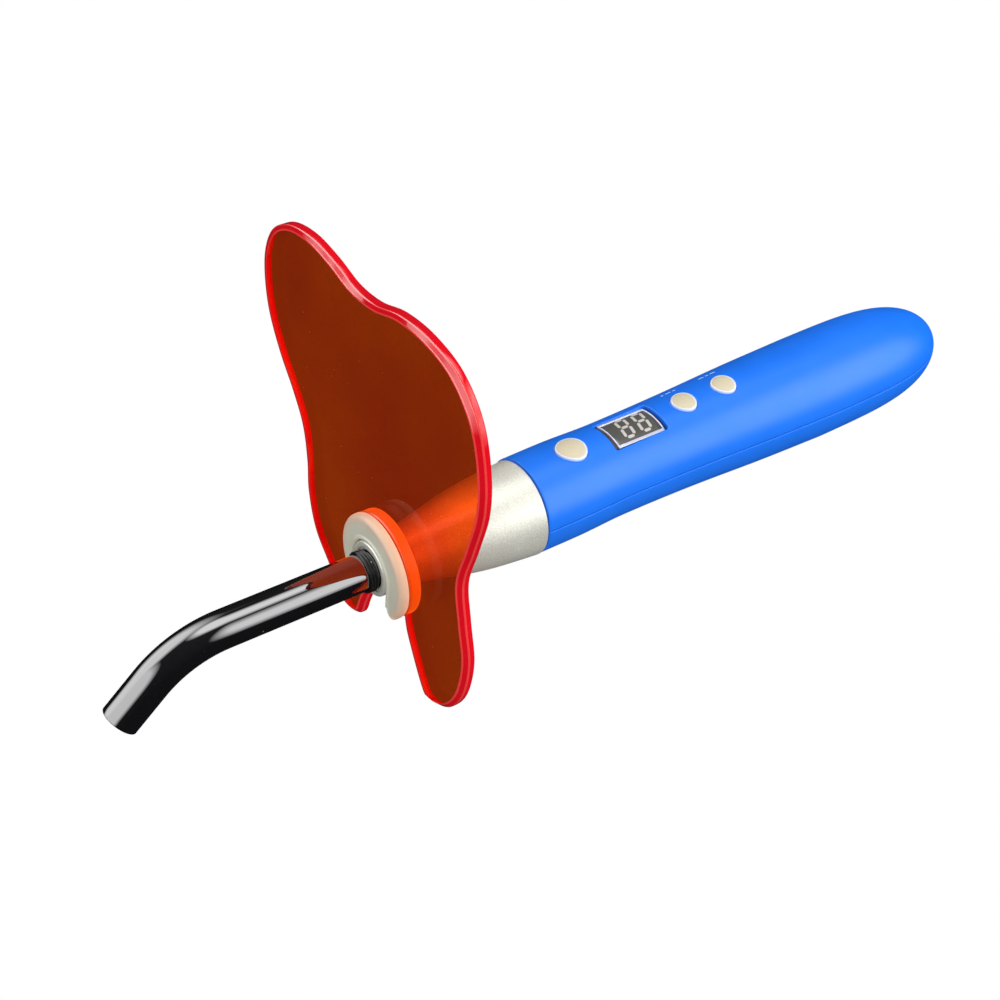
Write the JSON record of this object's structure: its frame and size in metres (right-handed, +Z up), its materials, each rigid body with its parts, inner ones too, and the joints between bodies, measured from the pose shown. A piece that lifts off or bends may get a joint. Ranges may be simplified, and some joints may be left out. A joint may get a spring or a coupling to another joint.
{
  "type": "dental curing light",
  "caption": "Cordless hand-held dental curing light: bent black light guide on a metal head, orange-red eye shield, blue handle with buttons and a display.",
  "frame": {"origin": "middle of the hand grip, on the light guide's axis carried back through the handle", "axes": "+X along the guide's axis from the nose towards the tail, +Z up through the buttons and display, +Y across"},
  "size_m": [0.2455, 0.0912, 0.1005],
  "materials": {
    "blue_plastic": "satin moulded blue plastic",
    "satin_aluminium": "fine bead-blasted satin aluminium",
    "steel": "satin stainless steel",
    "black_glass": "polished black glass",
    "fibre": "polished fused fibre",
    "black_rubber": "black rubber",
    "shield_acrylic": "clear orange-red acrylic with polished edge",
    "orange_acrylic": "bright orange acrylic",
    "white_plastic": "ivory nylon",
    "cream_rubber": "cream silicone",
    "bright_trim": "bright metal",
    "dark_window": "smoked glossy window",
    "clear_glass": "clear optical glass",
    "circuit_board": "green solder mask",
    "black_plastic": "black moulded plastic",
    "cell_wrap": "green shrink wrap on a battery cell",
    "nickel": "nickel strip",
    "gold_plate": "gold plated contact",
    "red_wire": "red insulated lead",
    "black_wire": "black insulated lead"
  },
  "bodies": {
    "root": {"battery_cell": "cell_wrap", "battery_cradle": "black_plastic", "battery_lead_black": "black_wire", "battery_lead_red": "red_wire", "buzzer": "black_plastic", "charge_board": "circuit_board", "charge_contact_a": "gold_plate", "charge_contact_b": "gold_plate", "charge_lead_black": "black_wire", "charge_lead_red": "red_wire", "controller_chip": "black_plastic", "display_frame": "bright_trim", "display_module": "black_plastic", "display_window": "dark_window", "frame_screw_1": "steel", "frame_screw_2": "steel", "front_battery_tab": "nickel", "guide_socket": "satin_aluminium", "head_housing": "satin_aluminium", "head_seal": "black_rubber", "heat_sink": "satin_aluminium", "inner_frame": "black_plastic", "led_board": "circuit_board", "led_emitter": "clear_glass", "led_lead_black": "black_wire", "led_lead_red": "red_wire", "lens": "clear_glass", "lower_shell": "blue_plastic", "main_board": "circuit_board", "mode_switch": "black_plastic", "neck_sleeve": "steel", "power_switch": "black_plastic", "rear_battery_tab": "nickel", "reflector": "bright_trim", "time_switch": "black_plastic", "upper_shell": "blue_plastic"},
    "light_guide": {"guide_sheath": "black_glass", "guide_core": "fibre", "guide_ferrule": "black_rubber"},
    "guide_seal": {"o_ring": "black_rubber"},
    "shield_collar": {"shield_collar": "steel"},
    "shield": {"shield_plate": "shield_acrylic", "shield_ring": "orange_acrylic", "shield_clip": "white_plastic"},
    "on_off_button": {"on_off_button": "cream_rubber"},
    "mode_button": {"mode_button": "cream_rubber"},
    "time_button": {"time_button": "cream_rubber"}
  },
  "joints": [
    {"name": "guide_turn", "type": "hinge", "parent": "root", "child": "guide_seal", "pos_m": [-0.0946, 0, 0], "axis": [1, 0, 0], "continuous": true},
    {"name": "guide_pull", "type": "slide", "parent": "guide_seal", "child": "light_guide", "axis": [-1, 0, 0], "range_m": [0, 0.028]},
    {"name": "shield_turn", "type": "hinge", "parent": "root", "child": "shield_collar", "pos_m": [-0.1085, 0, 0], "axis": [1, 0, 0], "continuous": true},
    {"name": "shield_lift", "type": "slide", "parent": "shield_collar", "child": "shield", "axis": [0, 0, 1], "range_m": [0, 0.04]},
    {"name": "on_off_button_press", "type": "slide", "parent": "root", "child": "on_off_button", "axis": [0, 0, -1], "range_m": [0, 0.0005], "stiffness_N_per_m": 3000},
    {"name": "mode_button_press", "type": "slide", "parent": "root", "child": "mode_button", "axis": [0, 0, -1], "range_m": [0, 0.0005], "stiffness_N_per_m": 3000},
    {"name": "time_button_press", "type": "slide", "parent": "root", "child": "time_button", "axis": [0, 0, -1], "range_m": [0, 0.0005], "stiffness_N_per_m": 3000}
  ]
}
